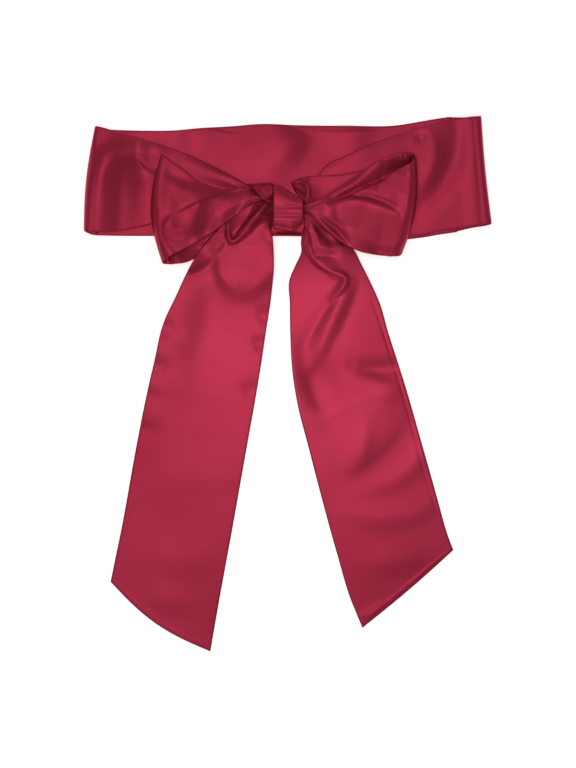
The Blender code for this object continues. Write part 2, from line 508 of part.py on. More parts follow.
def add_knot_band(material, collection):
    """The part of the sash that wraps the knot, an open ring of cloth."""
    across, down, up = knot_rings(KNOT_WALL / 2, KNOT_LEFT, KNOT_RIGHT, 7, 32)
    points = to_frame(across, down, up).reshape(-1, 3)
    faces = grid_faces(*across.shape, closed=True)
    made = add_object("knot_band", points, faces, material, collection)
    add_wall(made, KNOT_WALL)
    return made


def add_knot_core(material, collection):
    """The hidden turns inside the knot, as one rounded solid."""
    inset = KNOT_WALL + CORE_GAP
    start, end = KNOT_LEFT + CORE_SETBACK, KNOT_RIGHT - CORE_SETBACK
    across, down, up = knot_rings(inset, start, end, 5, 24)
    rows, columns = across.shape
    points = to_frame(across, down, up).reshape(-1, 3)
    faces = grid_faces(rows, columns, closed=True)
    faces.append(tuple(range(columns)))
    faces.append(tuple(range(rows * columns - 1, (rows - 1) * columns - 1, -1)))
    return add_object("knot_core", points, faces, material, collection)


def build():
    """Lays the sash down, the lowest stretch first."""
    clear_scene()
    sash = bpy.data.collections.new("satin_sash")
    bpy.context.scene.collection.children.link(sash)
    cloth = satin("crimson_satin", CRIMSON)
    shade = satin("crimson_satin_inside", CRIMSON_SHADE)
    board = Board()
    for plan in STRETCHES:
        add_stretch(plan, board, cloth, sash)
    add_knot_band(cloth, sash)
    add_knot_core(shade, sash)


build()
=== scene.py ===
"""Looks of a crimson satin sash, tied in a bow and laid flat, seen from straight above.

Tables are in millimetres across and down the layout board that the solids were laid out on.
"""

import math

import bpy
import numpy as np
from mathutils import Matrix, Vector


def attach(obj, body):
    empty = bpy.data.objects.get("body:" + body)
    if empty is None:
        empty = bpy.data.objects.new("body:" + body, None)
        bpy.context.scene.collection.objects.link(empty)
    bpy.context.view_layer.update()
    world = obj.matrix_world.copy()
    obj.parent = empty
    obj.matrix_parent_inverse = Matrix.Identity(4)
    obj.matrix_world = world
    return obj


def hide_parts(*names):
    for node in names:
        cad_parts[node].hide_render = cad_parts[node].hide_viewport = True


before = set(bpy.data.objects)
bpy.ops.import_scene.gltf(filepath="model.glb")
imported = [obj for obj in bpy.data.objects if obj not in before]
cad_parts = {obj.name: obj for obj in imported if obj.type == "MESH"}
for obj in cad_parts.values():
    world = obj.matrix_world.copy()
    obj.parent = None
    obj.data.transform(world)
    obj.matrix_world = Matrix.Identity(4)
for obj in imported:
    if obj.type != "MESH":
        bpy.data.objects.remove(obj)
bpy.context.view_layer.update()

# Sizes are in millimetres, except that those of the floor, the lights and the bump of the weave and
# the height of the view are in metres.
MM = 0.001
TINY = 1e-12
BOARD_SIZE = (560.0, 720.0)
BOARD_MIDDLE = (287.9, 383.8)

# The cloth: the room that a ply takes, the gap above it, and the shell that shows.
PLY_SPACE = 1.2
SEAM_GAP = 0.3
SHELL = 0.8
EDGE_ROUNDING = 1.6
CUT_WIDTH = 112.0

# The grid that a stretch is made on: its coarsest step and the fewest steps across the cloth.
GRID_STEP = 1.25
FEWEST_STRIPS = 48

# A fold is followed in this many points. Its height swells and falls along it like half a wave, with
# this share of the half wave left out at each end. Cloth that comes down on what lies below it settles
# softly over its last millimetre or so.
FOLD_POINTS = 25
FOLD_END = 0.12
SOFT_LANDING = 1.2

# The map of what lies below: its cell, how far it is widened past an edge, how softly, how many points
# a stretch gives it for each of its own, and how far inside the last cell it is read.
MAP_CELL = 1.0
MAP_REACH = 7.0
MAP_BLUR = 2.5
MAP_FINENESS = 2
MAP_MARGIN = 0.001

# The knot: a ring of cloth around a core. Each is a grid of stations across it and points around it.
KNOT_LEFT = 273.2
KNOT_RIGHT = 303.4
KNOT_FOOT = PLY_SPACE + SEAM_GAP
KNOT_TOP = 25.0
KNOT_WALL = 1.4
KNOT_ROUNDNESS = 3.4
KNOT_SEAT_ROUNDNESS = 7.0
KNOT_GIRTH = 120.0
BAND_INSET = 0.2
BAND_GRID = (31, 150)
CORE_SETBACK = 3.0
CORE_GAP = 1.0
CORE_GRID = (9, 48)
CORE_UV_SHIFT = 0.5

# The satin: how it shines, the two tones of its soft patches, and its weave. The weave is noise
# stretched across and along the cloth, and stands up very little.
SATIN_SHEEN = {
    "Roughness": 0.39,
    "Metallic": 0.6,
    "Specular IOR Level": 0.3,
    "Specular Tint": (0.8, 0.3, 0.36, 1.0),
}
CRIMSON = (0.46, 0.031, 0.072, 1.0)
CRIMSON_DEEP = (0.39, 0.022, 0.054, 1.0)
# Painted shade: a darker copy of the satin's two tones, for the hidden core inside the knot.
PAINTED_SHADE = (0.25, 0.01, 0.03, 1.0)
PAINTED_SHADE_DEEP = (0.2, 0.008, 0.02, 1.0)
PATCH_NOISE = {"Scale": 9.0, "Detail": 3.0}
PATCH_BLEND = (0.32, 0.68)
WEAVE_STRETCH = (900.0, 2600.0, 1.0)
WEAVE_NOISE = {"Scale": 1.0, "Detail": 2.0}
WEAVE_BUMP = {"Strength": 0.12, "Distance": 0.0002}

WHITE = (1.0, 1.0, 1.0, 1.0)
FLOOR_REACH = 3.0
FLOOR_SHEEN = {
    "Base Color": (0.95, 0.95, 0.95, 1.0),
    "Roughness": 0.9,
    "Emission Color": WHITE,
    "Emission Strength": 0.55,
}

# Large soft lights and the pale room around them. Power is in watts.
KEY_LIGHT = {"place": (-0.26, 0.14, 3.2), "size": 1.1, "power": 11.0}
UPPER_FILL = {"place": (-0.9, 1.5, 2.4), "size": 1.4, "power": 7.0}
LOWER_FILL = {"place": (-0.5, -1.9, 2.4), "size": 1.4, "power": 9.0}
LIGHT_TARGET = (0.0, 0.05, 0.0)
ROOM_LIGHT = 0.3

# Four round lights overhead, all aimed at the middle of the tails, where they fade out together.
POOL_PLACES = ((-0.4, 0.36), (0.1, 0.36), (-0.4, -0.04), (0.1, -0.04))
POOL_HEIGHT = 3.2
POOL_TARGET = (0.04, 0.02, 0.0)
POOL_REACH = 0.21
POOL_POWER = 6.9
POOL_SOURCE_RADIUS = 0.08

# The view takes in a board of 576 by 768 mm.
VIEW_MIDDLE = (288.0, 384.0)
VIEW_HEIGHT = 0.768
SENSOR_HEIGHT = 24.0
LENS = 85.0

SECTION_COLUMNS = (
    "first_across", "first_down", "second_across", "second_down",
    "first_lift", "second_lift", "crown", "bow", "gather", "over", "face",
)

# Each row is one section of a stretch, from edge to edge of the cloth. Lifts and crown are the clear
# height under the two edges and the extra height of the middle; bow moves the middle off the straight
# line; gather is the height of the pleats. Over is 1 where the section lies on everything laid before
# it and 0 where it still lies beside the ply that it turns back from. Face is 1 where its folds show.
WAIST_BACK_SECTIONS = (
    (107.0, 129.6, 96.0, 235.4, 1.6, 1.6, 0.0, 0.0, 0.0, 0.0, 0.0),
    (120.0, 130.2, 110.0, 235.8, 1.6, 1.6, 0.0, 0.0, 0.0, 0.0, 0.4),
    (138.0, 130.6, 132.0, 236.0, 0.6, 0.6, 0.0, 0.0, 0.0, 0.0, 1.0),
    (176.0, 130.3, 176.0, 236.0, 0.0, 0.0, 0.0, 0.0, 0.0, 0.0, 1.0),
    (203.0, 128.0, 206.0, 236.0, 0.0, 0.0, 0.0, 0.0, 0.0, 0.0, 1.0),
    (233.0, 126.2, 234.0, 236.2, 0.0, 0.0, 0.0, 0.0, 0.0, 0.0, 1.0),
    (259.0, 124.2, 259.0, 236.3, 0.0, 0.0, 0.0, 0.0, 0.0, 0.0, 1.0),
    (300.0, 125.4, 300.0, 236.5, 0.0, 0.0, 0.0, 0.0, 0.0, 0.0, 1.0),
    (345.0, 125.8, 345.0, 238.2, 0.0, 0.0, 0.0, 0.0, 0.0, 0.0, 1.0),
    (392.0, 125.8, 386.0, 241.0, 0.0, 0.0, 0.0, 0.0, 0.0, 0.0, 1.0),
    (418.0, 122.0, 424.0, 237.4, 0.6, 0.6, 0.0, 0.0, 0.0, 0.0, 1.0),
    (438.0, 118.6, 440.0, 234.6, 1.6, 1.6, 0.0, 0.0, 0.0, 0.0, 0.4),
    (451.0, 117.0, 457.0, 232.2, 1.6, 1.6, 0.0, 0.0, 0.0, 0.0, 0.0),
)
WAIST_LEFT_SECTIONS = (
    (111.6, 130.0, 100.6, 235.6, 0.0, 0.0, 0.0, 0.0, 0.0, 0.0, 0.0),
    (103.5, 127.6, 92.4, 234.8, 0.0, 0.0, 0.0, -1.4, 0.0, 0.0, 0.0),
    (97.6, 126.3, 86.4, 232.4, 0.6, 0.6, 0.2, -2.6, 0.0, 0.0, 0.0),
    (95.6, 126.2, 84.4, 231.2, 1.8, 2.8, 0.6, -3.0, 0.0, 0.0, 0.5),
    (97.0, 126.8, 86.0, 231.8, 3.6, 6.0, 1.6, -2.8, 0.0, 0.0, 0.9),
    (104.0, 128.8, 94.0, 232.0, 4.4, 7.8, 3.8, -1.4, 0.0, 0.0, 1.0),
    (127.0, 135.0, 122.0, 230.6, 4.2, 4.6, 2.6, 0.0, 0.0, 0.1, 1.0),
    (146.0, 140.4, 143.0, 226.4, 3.6, 1.6, 0.2, 0.0, 0.0, 1.0, 1.0),
    (176.5, 150.4, 172.0, 219.0, 3.0, 3.0, 2.4, 0.0, 0.0, 1.0, 1.0),
    (207.4, 163.6, 205.0, 214.0, 2.6, 3.2, 3.0, 0.0, 0.3, 1.0, 1.0),
    (232.0, 175.8, 230.0, 211.0, 2.4, 3.0, 2.4, 0.0, 0.5, 1.0, 0.8),
    (252.0, 187.0, 252.0, 207.0, 2.4, 2.6, 1.4, 0.0, 0.5, 1.0, 0.3),
    (266.0, 191.5, 266.0, 205.0, 2.6, 2.6, 0.4, 0.0, 0.3, 1.0, 0.0),
    (275.6, 193.0, 275.6, 204.0, 2.8, 2.8, 0.2, 0.0, 0.0, 1.0, 0.0),
)
WAIST_RIGHT_SECTIONS = (
    (446.4, 117.0, 452.4, 232.6, 0.0, 0.0, 0.0, 0.0, 0.0, 0.0, 0.0),
    (462.0, 117.4, 470.0, 228.4, 0.0, 0.0, 0.0, 0.0, 0.0, 0.0, 0.0),
    (478.6, 116.6, 489.4, 224.8, 0.6, 0.6, 0.2, -1.0, 0.0, 0.0, 0.0),
    (480.8, 116.2, 491.3, 224.0, 2.6, 2.6, 0.6, -1.2, 0.0, 0.0, 0.2),
    (479.6, 116.4, 490.2, 224.2, 4.7, 4.5, 1.4, -1.2, 0.0, 0.0, 0.6),
    (472.0, 117.0, 480.5, 225.4, 6.2, 5.8, 2.0, 0.0, 0.0, 0.0, 1.0),
    (457.0, 119.0, 462.5, 228.2, 6.0, 5.4, 2.2, 0.0, 0.0, 0.0, 1.0),
    (442.0, 121.6, 443.0, 231.0, 5.2, 4.4, 2.6, 0.0, 0.0, 0.3, 1.0),
    (418.0, 128.4, 417.0, 236.0, 3.0, 2.4, 3.2, 0.0, 0.0, 1.0, 1.0),
    (388.0, 138.2, 386.0, 232.0, 3.0, 2.6, 3.0, 0.0, 0.0, 1.0, 1.0),
    (350.0, 154.4, 352.0, 222.0, 2.6, 2.6, 2.6, 0.0, 0.2, 1.0, 1.0),
    (322.0, 170.0, 326.0, 214.0, 2.0, 2.6, 1.6, 0.0, 0.4, 1.0, 0.5),
    (310.0, 196.0, 312.0, 215.0, 2.6, 2.6, 0.4, 0.0, 0.2, 1.0, 0.0),
    (301.0, 206.0, 301.0, 215.0, 2.8, 2.8, 0.2, 0.0, 0.0, 1.0, 0.0),
)
LOOP_LEFT_BACK_SECTIONS = (
    (275.4, 198.0, 275.4, 206.0, 0.4, 0.4, 0.0, 0.0, 0.0, 1.0, 0.0),
    (262.0, 195.0, 262.0, 209.0, 0.3, 0.3, 0.0, 0.0, 0.1, 1.0, 0.0),
    (238.0, 191.5, 238.0, 221.0, 0.0, 0.0, 0.0, 0.0, 0.1, 1.0, 0.4),
    (216.0, 188.0, 216.0, 238.0, 0.0, 0.0, 0.0, 0.0, 0.0, 1.0, 1.0),
    (199.0, 182.0, 202.0, 254.0, 0.0, 0.6, 0.0, -1.0, 0.0, 1.0, 1.0),
    (184.0, 171.4, 187.0, 262.4, 0.0, 3.4, 0.0, -4.0, 0.0, 1.0, 0.9),
    (174.6, 163.6, 178.0, 264.0, 0.8, 5.6, 0.0, -6.8, 0.0, 1.0, 0.5),
    (167.0, 158.0, 170.0, 264.4, 1.6, 4.4, 0.0, -9.4, 0.0, 1.0, 0.0),
)
TAIL_LEFT_SECTIONS = (
    (275.6, 200.0, 275.6, 220.5, 3.2, 4.0, 0.2, 0.0, 0.1, 1.0, 0.0),
    (269.6, 199.0, 271.4, 227.0, 3.6, 4.4, 0.8, 0.0, 0.1, 1.0, 0.4),
    (254.6, 203.0, 272.6, 236.4, 3.8, 5.2, 1.6, 0.0, 0.0, 1.0, 0.9),
    (228.0, 220.6, 273.6, 248.4, 3.0, 6.4, 1.6, 0.0, 0.0, 1.0, 1.0),
    (206.4, 242.0, 274.0, 260.0, 2.0, 7.4, 1.8, 0.0, 0.0, 1.0, 1.0),
    (193.4, 261.0, 273.8, 272.0, 1.4, 6.8, 2.0, 0.0, 0.0, 1.0, 1.0),
    (184.8, 277.0, 272.6, 284.4, 4.0, 5.2, 1.8, 0.0, 0.0, 1.0, 1.0),
    (176.6, 295.0, 270.6, 301.8, 4.8, 3.8, 1.2, 0.0, 0.0, 1.0, 1.0),
    (163.4, 323.6, 266.2, 330.0, 4.8, 3.2, 1.0, 0.0, 0.0, 1.0, 1.0),
    (154.6, 360.4, 261.2, 363.8, 4.2, 3.0, 0.8, 0.0, 0.0, 1.0, 1.0),
    (147.4, 391.6, 255.4, 399.0, 3.0, 2.4, 0.6, 0.0, 0.0, 1.0, 1.0),
    (137.6, 440.0, 247.0, 446.0, 1.4, 1.4, 0.6, 0.0, 0.0, 1.0, 1.0),
    (122.4, 524.0, 231.4, 534.0, 0.2, 0.2, 0.8, 0.0, 0.0, 1.0, 1.0),
    (114.4, 563.0, 218.6, 604.0, 0.2, 0.2, 0.8, -5.0, 0.0, 1.0, 1.0),
    (110.6, 581.8, 210.4, 651.4, 0.0, 0.0, 0.2, -8.4, 0.0, 1.0, 1.0),
)
TAIL_RIGHT_SECTIONS = (
    (300.9, 216.5, 300.9, 208.0, 3.4, 3.4, 0.0, 0.0, 0.0, 1.0, 0.0),
    (304.8, 220.0, 309.4, 212.4, 3.2, 3.2, 0.4, 0.0, 0.1, 1.0, 0.2),
    (302.2, 233.0, 325.0, 223.0, 2.4, 2.6, 2.4, 0.0, 0.2, 1.0, 0.8),
    (300.8, 243.0, 344.0, 239.6, 1.8, 2.6, 3.6, 0.0, 0.1, 1.0, 1.0),
    (301.0, 253.0, 354.4, 250.6, 1.2, 3.0, 3.4, 0.0, 0.1, 1.0, 1.0),
    (296.0, 264.0, 360.0, 261.6, 1.0, 3.4, 2.8, 0.0, 0.0, 1.0, 1.0),
    (289.4, 280.0, 368.8, 279.0, 0.8, 3.4, 2.0, 0.0, 0.0, 1.0, 1.0),
    (289.8, 303.0, 379.6, 303.0, 1.4, 3.2, 1.2, 0.0, 0.0, 1.0, 1.0),
    (290.2, 332.4, 388.0, 332.0, 2.6, 2.8, 0.6, 0.0, 0.0, 1.0, 1.0),
    (292.4, 371.6, 400.6, 371.0, 3.6, 2.2, 0.4, 0.0, 0.0, 1.0, 1.0),
    (298.0, 406.6, 411.2, 406.0, 2.8, 1.8, 0.6, 0.0, 0.0, 1.0, 1.0),
    (307.6, 444.0, 420.8, 440.0, 1.2, 1.2, 0.8, 0.0, 0.0, 1.0, 1.0),
    (320.6, 494.0, 433.6, 485.0, 0.2, 0.2, 1.0, 0.0, 0.0, 1.0, 1.0),
    (337.4, 555.0, 446.4, 531.0, 0.2, 0.2, 0.8, 0.0, 0.0, 1.0, 1.0),
    (350.4, 598.6, 451.4, 545.0, 0.2, 0.2, 0.6, 0.8, 0.0, 1.0, 1.0),
    (362.4, 627.8, 453.4, 550.0, 0.0, 0.0, 0.2, -1.4, 0.0, 1.0, 1.0),
)
LOOP_LEFT_FRONT_SECTIONS = (
    (170.2, 160.0, 173.6, 264.4, 0.0, 0.0, 0.0, -8.2, 0.0, 0.0, 0.0),
    (164.6, 156.0, 166.6, 264.2, 0.4, 0.4, 0.0, -10.2, 0.0, 0.0, 0.0),
    (162.2, 154.6, 162.8, 263.4, 3.6, 3.2, 1.6, -11.0, 0.0, 0.45, 0.4),
    (163.2, 156.0, 164.4, 261.8, 4.8, 5.6, 3.0, -10.6, 0.0, 0.9, 0.8),
    (174.0, 163.6, 181.4, 251.8, 7.2, 7.4, 3.4, -6.6, 0.0, 1.0, 1.0),
    (185.0, 171.6, 197.6, 243.0, 7.8, 8.6, 3.4, -2.6, 0.0, 1.0, 1.0),
    (196.0, 180.4, 214.6, 232.0, 7.2, 6.4, 3.4, 0.0, 0.0, 1.0, 1.0),
    (210.0, 187.6, 232.0, 219.6, 6.0, 4.6, 2.8, 0.0, 0.1, 1.0, 1.0),
    (228.0, 190.4, 247.4, 207.4, 3.2, 4.2, 2.0, 0.0, 0.1, 1.0, 0.8),
    (246.0, 188.4, 257.8, 199.8, 2.8, 3.2, 1.2, 0.0, 0.1, 1.0, 0.2),
    (262.0, 193.0, 266.0, 202.0, 2.0, 2.0, 0.2, 0.0, 0.0, 1.0, 0.0),
    (275.4, 198.0, 275.4, 205.0, 1.4, 1.4, 0.0, 0.0, 0.0, 1.0, 0.0),
)
LOOP_RIGHT_BACK_SECTIONS = (
    (290.8, 182.6, 305.6, 203.6, 0.6, 1.2, 4.6, -2.0, 0.0, 1.0, 1.0),
    (298.0, 178.9, 312.0, 213.0, 0.6, 0.8, 3.8, -0.6, 0.0, 1.0, 1.0),
    (316.0, 176.4, 327.0, 228.0, 0.6, 0.4, 2.0, 0.0, 0.0, 1.0, 1.0),
    (338.0, 175.4, 343.0, 240.0, 0.4, 0.2, 1.0, 0.0, 0.0, 1.0, 0.6),
    (362.0, 170.6, 364.0, 250.0, 0.4, 0.0, 0.4, 0.0, 0.0, 1.0, 0.6),
    (386.0, 158.2, 382.0, 255.0, 0.4, 0.0, 0.0, 2.0, 0.0, 1.0, 1.0),
    (400.0, 153.8, 390.0, 256.6, 0.8, 0.8, 0.0, 5.6, 0.0, 1.0, 1.0),
    (410.0, 153.4, 397.6, 255.8, 1.6, 1.6, 0.0, 7.2, 0.0, 1.0, 1.0),
)
LOOP_RIGHT_FRONT_SECTIONS = (
    (405.4, 153.4, 394.8, 256.2, 0.0, 0.0, 0.0, 6.6, 0.0, 0.0, 0.0),
    (411.4, 153.8, 399.4, 255.4, 0.5, 0.5, 0.0, 7.4, 0.0, 0.0, 0.0),
    (414.0, 155.4, 400.9, 255.2, 4.0, 3.6, 1.0, 7.6, 0.0, 0.1, 0.2),
    (413.2, 160.6, 398.6, 256.4, 8.4, 6.4, 2.4, 7.2, 0.0, 0.5, 0.6),
    (400.0, 169.6, 385.6, 256.4, 10.6, 6.8, 4.6, 5.0, 0.0, 1.0, 1.0),
    (389.0, 175.8, 374.0, 255.2, 9.6, 6.4, 4.8, 3.0, 0.0, 1.0, 1.0),
    (379.6, 180.4, 363.6, 253.4, 8.8, 6.2, 4.8, 1.0, 0.0, 1.0, 1.0),
    (381.0, 162.2, 354.0, 250.2, 5.4, 6.4, 5.9, 0.4, 0.0, 1.0, 1.0),
    (362.4, 172.0, 344.6, 245.4, 8.0, 6.0, 5.0, 0.0, 0.1, 1.0, 1.0),
    (348.0, 181.4, 335.0, 238.6, 7.0, 5.8, 4.4, 0.0, 0.2, 1.0, 1.0),
    (334.0, 190.8, 321.0, 227.0, 5.6, 5.0, 3.0, 0.0, 0.3, 1.0, 0.9),
    (319.0, 200.2, 311.0, 218.6, 4.0, 3.8, 1.4, 0.0, 0.2, 1.0, 0.4),
    (308.0, 205.2, 305.6, 214.4, 2.4, 2.6, 0.2, 0.0, 0.2, 1.0, 0.0),
    (300.9, 206.4, 300.9, 213.4, 1.4, 1.4, 0.0, 0.0, 0.0, 1.0, 0.0),
)
KNOT_WRAP_SECTIONS = (
    (247.4, 184.2, 272.0, 183.6, 2.6, 4.6, 0.6, 0.0, 0.0, 0.0, 1.0),
    (248.4, 185.6, 272.2, 184.8, 2.6, 5.0, 1.6, 0.0, 0.0, 0.4, 1.0),
    (252.4, 189.6, 272.6, 187.6, 1.4, 4.4, 1.4, 0.0, 0.0, 1.0, 1.0),
    (257.0, 194.4, 272.8, 191.6, 1.4, 4.6, 1.4, 0.0, 0.0, 1.0, 1.0),
    (262.0, 199.4, 273.0, 196.0, 1.2, 3.4, 0.8, 0.0, 0.0, 1.0, 1.0),
    (265.4, 202.4, 273.0, 199.4, 0.8, 0.8, 0.2, 0.0, 0.0, 0.9, 1.0),
)

FOLD_COLUMNS = (
    "start_across", "start_down", "middle_across", "middle_down", "end_across", "end_down",
    "left_spread", "right_spread", "height",
)

# Each row is one soft ridge, or one trough where its height is negative, along a line through three
# points. The spreads are how far it reaches to the left and to the right of that line.
WAIST_BACK_FOLDS = (
    (198.0, 116.0, 194.0, 136.0, 204.0, 160.0, 34.0, 16.0, 2.2),
    (272.0, 122.0, 272.0, 156.0, 262.0, 190.0, 28.0, 34.0, 2.6),
    (298.0, 130.0, 290.0, 144.0, 276.0, 160.0, 15.0, 30.0, 2.2),
    (352.0, 118.0, 352.0, 136.0, 350.0, 160.0, 20.0, 28.0, 2.0),
    (312.0, 130.6, 350.0, 131.6, 412.0, 129.6, 1.0, 7.0, 0.5),
    (272.0, 238.0, 288.0, 238.6, 304.0, 238.0, 5.0, 4.0, 4.2),
)
WAIST_LEFT_FOLDS = (
    (90.0, 230.0, 100.0, 166.0, 150.0, 150.0, 12.0, 17.0, 4.2),
    (104.0, 170.0, 122.0, 155.0, 154.0, 150.0, 10.0, 13.0, 3.2),
    (136.0, 154.0, 141.0, 167.0, 158.0, 177.0, 3.2, 18.0, -2.8),
    (160.0, 152.0, 204.0, 170.0, 246.0, 189.0, 9.0, 9.0, 1.0),
)
WAIST_RIGHT_FOLDS = (
    (456.0, 118.0, 450.0, 168.0, 416.0, 212.0, 11.0, 12.0, -2.6),
    (428.0, 136.0, 434.0, 152.0, 428.0, 176.0, 8.0, 14.0, 1.6),
    (418.0, 134.0, 421.0, 138.0, 425.0, 143.0, 6.0, 6.0, -1.4),
    (414.0, 134.0, 370.0, 150.0, 330.0, 168.0, 9.0, 9.0, 1.2),
)
TAIL_LEFT_FOLDS = (
    (271.0, 199.0, 254.0, 222.0, 241.0, 236.4, 3.4, 7.0, 4.6),
    (241.6, 236.4, 230.6, 241.0, 228.6, 224.0, 2.0, 2.4, 4.6),
    (200.0, 247.5, 255.0, 247.5, 310.0, 247.5, 4.8, 16.0, 1.5),
    (264.0, 201.0, 248.0, 218.6, 236.0, 232.0, 2.6, 13.0, -5.0),
    (222.0, 248.0, 223.0, 276.0, 243.0, 292.0, 22.0, 7.0, 1.7),
    (240.0, 293.0, 258.0, 283.0, 276.0, 266.0, 18.0, 9.0, 1.5),
    (158.0, 326.0, 166.0, 328.0, 176.0, 331.0, 9.0, 10.0, -1.5),
    (148.0, 364.0, 157.0, 366.0, 168.0, 369.0, 9.0, 11.0, -1.5),
    (142.0, 396.0, 150.0, 396.0, 160.0, 398.0, 8.0, 8.0, -0.9),
    (136.0, 427.0, 146.0, 430.0, 158.0, 432.0, 8.0, 9.0, -0.9),
    (272.0, 316.0, 264.0, 316.0, 256.0, 318.0, 8.0, 8.0, -1.0),
    (268.0, 344.0, 260.0, 344.0, 252.0, 346.0, 8.0, 8.0, -1.0),
    (260.0, 389.0, 252.0, 390.0, 242.0, 392.0, 9.0, 9.0, -1.0),
    (222.0, 262.0, 212.0, 320.0, 196.0, 392.0, 40.0, 26.0, -4.0),
    (150.0, 470.0, 182.0, 478.0, 236.0, 470.0, 18.0, 18.0, 0.5),
    (130.0, 548.0, 170.0, 556.0, 224.0, 566.0, 20.0, 20.0, 0.8),
    (150.0, 606.0, 170.0, 600.0, 200.0, 610.0, 14.0, 14.0, 1.0),
    (112.0, 578.6, 157.4, 620.4, 210.0, 647.4, 1.3, 1.3, 0.9),
)
TAIL_RIGHT_FOLDS = (
    (305.0, 224.0, 306.6, 242.0, 312.0, 258.0, 5.0, 1.6, 2.8),
    (311.0, 256.0, 321.0, 266.6, 338.0, 275.0, 9.0, 1.8, 3.2),
    (335.0, 273.0, 346.0, 281.0, 334.0, 297.0, 2.4, 6.0, 3.0),
    (270.0, 248.5, 325.0, 248.5, 380.0, 248.5, 4.8, 16.0, 1.5),
    (349.0, 284.0, 335.0, 314.0, 312.0, 366.0, 8.0, 8.0, 1.6),
    (337.0, 296.0, 322.0, 316.0, 304.0, 348.0, 4.0, 8.0, -0.7),
    (358.0, 280.0, 352.0, 306.0, 332.0, 350.0, 5.0, 5.0, -0.3),
    (312.0, 257.4, 324.0, 256.0, 336.0, 257.0, 3.0, 3.0, -0.9),
    (314.0, 249.0, 326.0, 248.6, 340.0, 248.0, 4.0, 3.4, 0.8),
    (322.0, 230.0, 329.0, 239.0, 336.0, 246.0, 6.0, 6.0, -2.0),
    (310.0, 222.0, 315.0, 232.0, 318.0, 246.0, 3.4, 3.4, 1.4),
    (308.0, 352.0, 318.0, 386.0, 330.0, 416.0, 24.0, 15.0, -3.2),
    (404.0, 366.0, 382.0, 370.0, 356.0, 366.0, 9.0, 10.0, -2.0),
    (392.0, 380.0, 388.0, 392.0, 384.0, 402.0, 14.0, 14.0, 0.9),
    (366.0, 426.0, 362.0, 448.0, 356.0, 464.0, 10.0, 10.0, 1.0),
    (408.0, 430.0, 384.0, 464.0, 346.0, 486.0, 24.0, 11.0, -1.4),
    (424.0, 440.0, 404.0, 472.0, 350.0, 492.0, 12.0, 12.0, 1.2),
    (436.0, 500.0, 400.0, 516.0, 336.0, 512.0, 12.0, 12.0, 1.2),
    (360.0, 564.0, 392.0, 560.0, 424.0, 560.0, 14.0, 14.0, 1.0),
    (361.0, 616.0, 371.0, 613.0, 382.0, 604.0, 5.0, 5.0, 1.6),
    (372.0, 300.0, 391.0, 356.0, 415.0, 436.0, 1.4, 1.4, -0.3),
    (410.0, 420.0, 428.6, 486.0, 444.0, 532.0, 1.4, 1.4, -0.3),
    (360.6, 623.6, 406.0, 586.4, 451.0, 547.6, 1.3, 1.3, 0.9),
)
LOOP_LEFT_FRONT_FOLDS = (
    (236.0, 190.0, 208.0, 198.0, 178.0, 213.0, 1.5, 18.0, 3.2),
    (172.0, 174.0, 182.0, 181.0, 202.0, 187.0, 7.0, 6.0, -1.8),
    (180.0, 212.0, 165.0, 231.0, 178.0, 253.0, 14.0, 2.4, -1.0),
    (200.0, 206.0, 193.0, 227.0, 196.0, 248.0, 7.0, 18.0, 2.8),
    (197.0, 203.0, 200.0, 205.0, 203.0, 207.0, 4.5, 4.5, 1.4),
    (216.0, 211.0, 230.0, 203.0, 248.0, 195.0, 8.0, 8.0, 1.0),
)
LOOP_RIGHT_FRONT_FOLDS = (
    (385.0, 178.6, 360.0, 189.0, 330.0, 205.0, 2.6, 3.4, -3.0),
    (376.0, 170.0, 350.0, 187.0, 318.0, 204.0, 5.0, 4.0, 1.8),
    (340.0, 199.0, 364.0, 197.6, 392.0, 207.0, 3.4, 3.0, -2.2),
    (332.0, 204.4, 366.0, 203.4, 400.0, 220.0, 3.0, 12.0, 1.8),
    (384.0, 190.0, 400.0, 196.0, 406.0, 216.0, 7.0, 7.0, 0.8),
    (372.0, 181.0, 392.0, 173.0, 414.0, 161.0, 9.0, 9.0, -3.0),
    (409.0, 170.0, 409.6, 196.0, 403.0, 226.0, 6.0, 5.0, 1.6),
    (318.0, 219.0, 334.0, 228.0, 346.0, 242.0, 3.0, 6.0, -2.6),
    (308.0, 212.0, 326.0, 228.0, 348.0, 248.0, 2.6, 2.2, 2.6),
    (385.0, 222.0, 383.0, 238.0, 383.0, 254.0, 8.0, 8.0, -0.9),
)
LOOP_RIGHT_BACK_FOLDS = (
    (290.0, 186.0, 296.0, 192.4, 304.0, 199.0, 4.0, 4.0, -4.0),
    (293.0, 181.6, 307.0, 187.0, 305.6, 206.0, 1.8, 2.4, 3.2),
    (350.0, 178.0, 330.0, 187.0, 312.0, 202.0, 6.0, 10.0, -1.2),
    (366.0, 170.0, 390.0, 155.4, 422.0, 151.0, 6.0, 11.0, 8.0),
    (402.0, 152.0, 406.0, 160.0, 408.0, 168.0, 2.2, 2.2, 3.0),
)
LOOP_LEFT_BACK_FOLDS = (
    (162.0, 265.0, 180.0, 266.0, 198.0, 260.0, 8.0, 4.0, 2.0),
)
KNOT_WRAP_FOLDS = (
    (248.6, 183.0, 256.4, 191.2, 264.4, 200.0, 1.2, 1.2, 2.0),
    (252.6, 182.6, 260.0, 190.8, 267.2, 199.2, 1.2, 1.2, 2.0),
    (256.8, 183.6, 263.0, 190.8, 269.4, 198.0, 1.2, 1.2, 1.6),
    (262.4, 191.0, 262.0, 184.8, 268.4, 186.6, 1.3, 1.8, 2.0),
    (268.0, 186.4, 273.4, 191.0, 269.4, 197.0, 1.8, 1.6, 2.0),
)

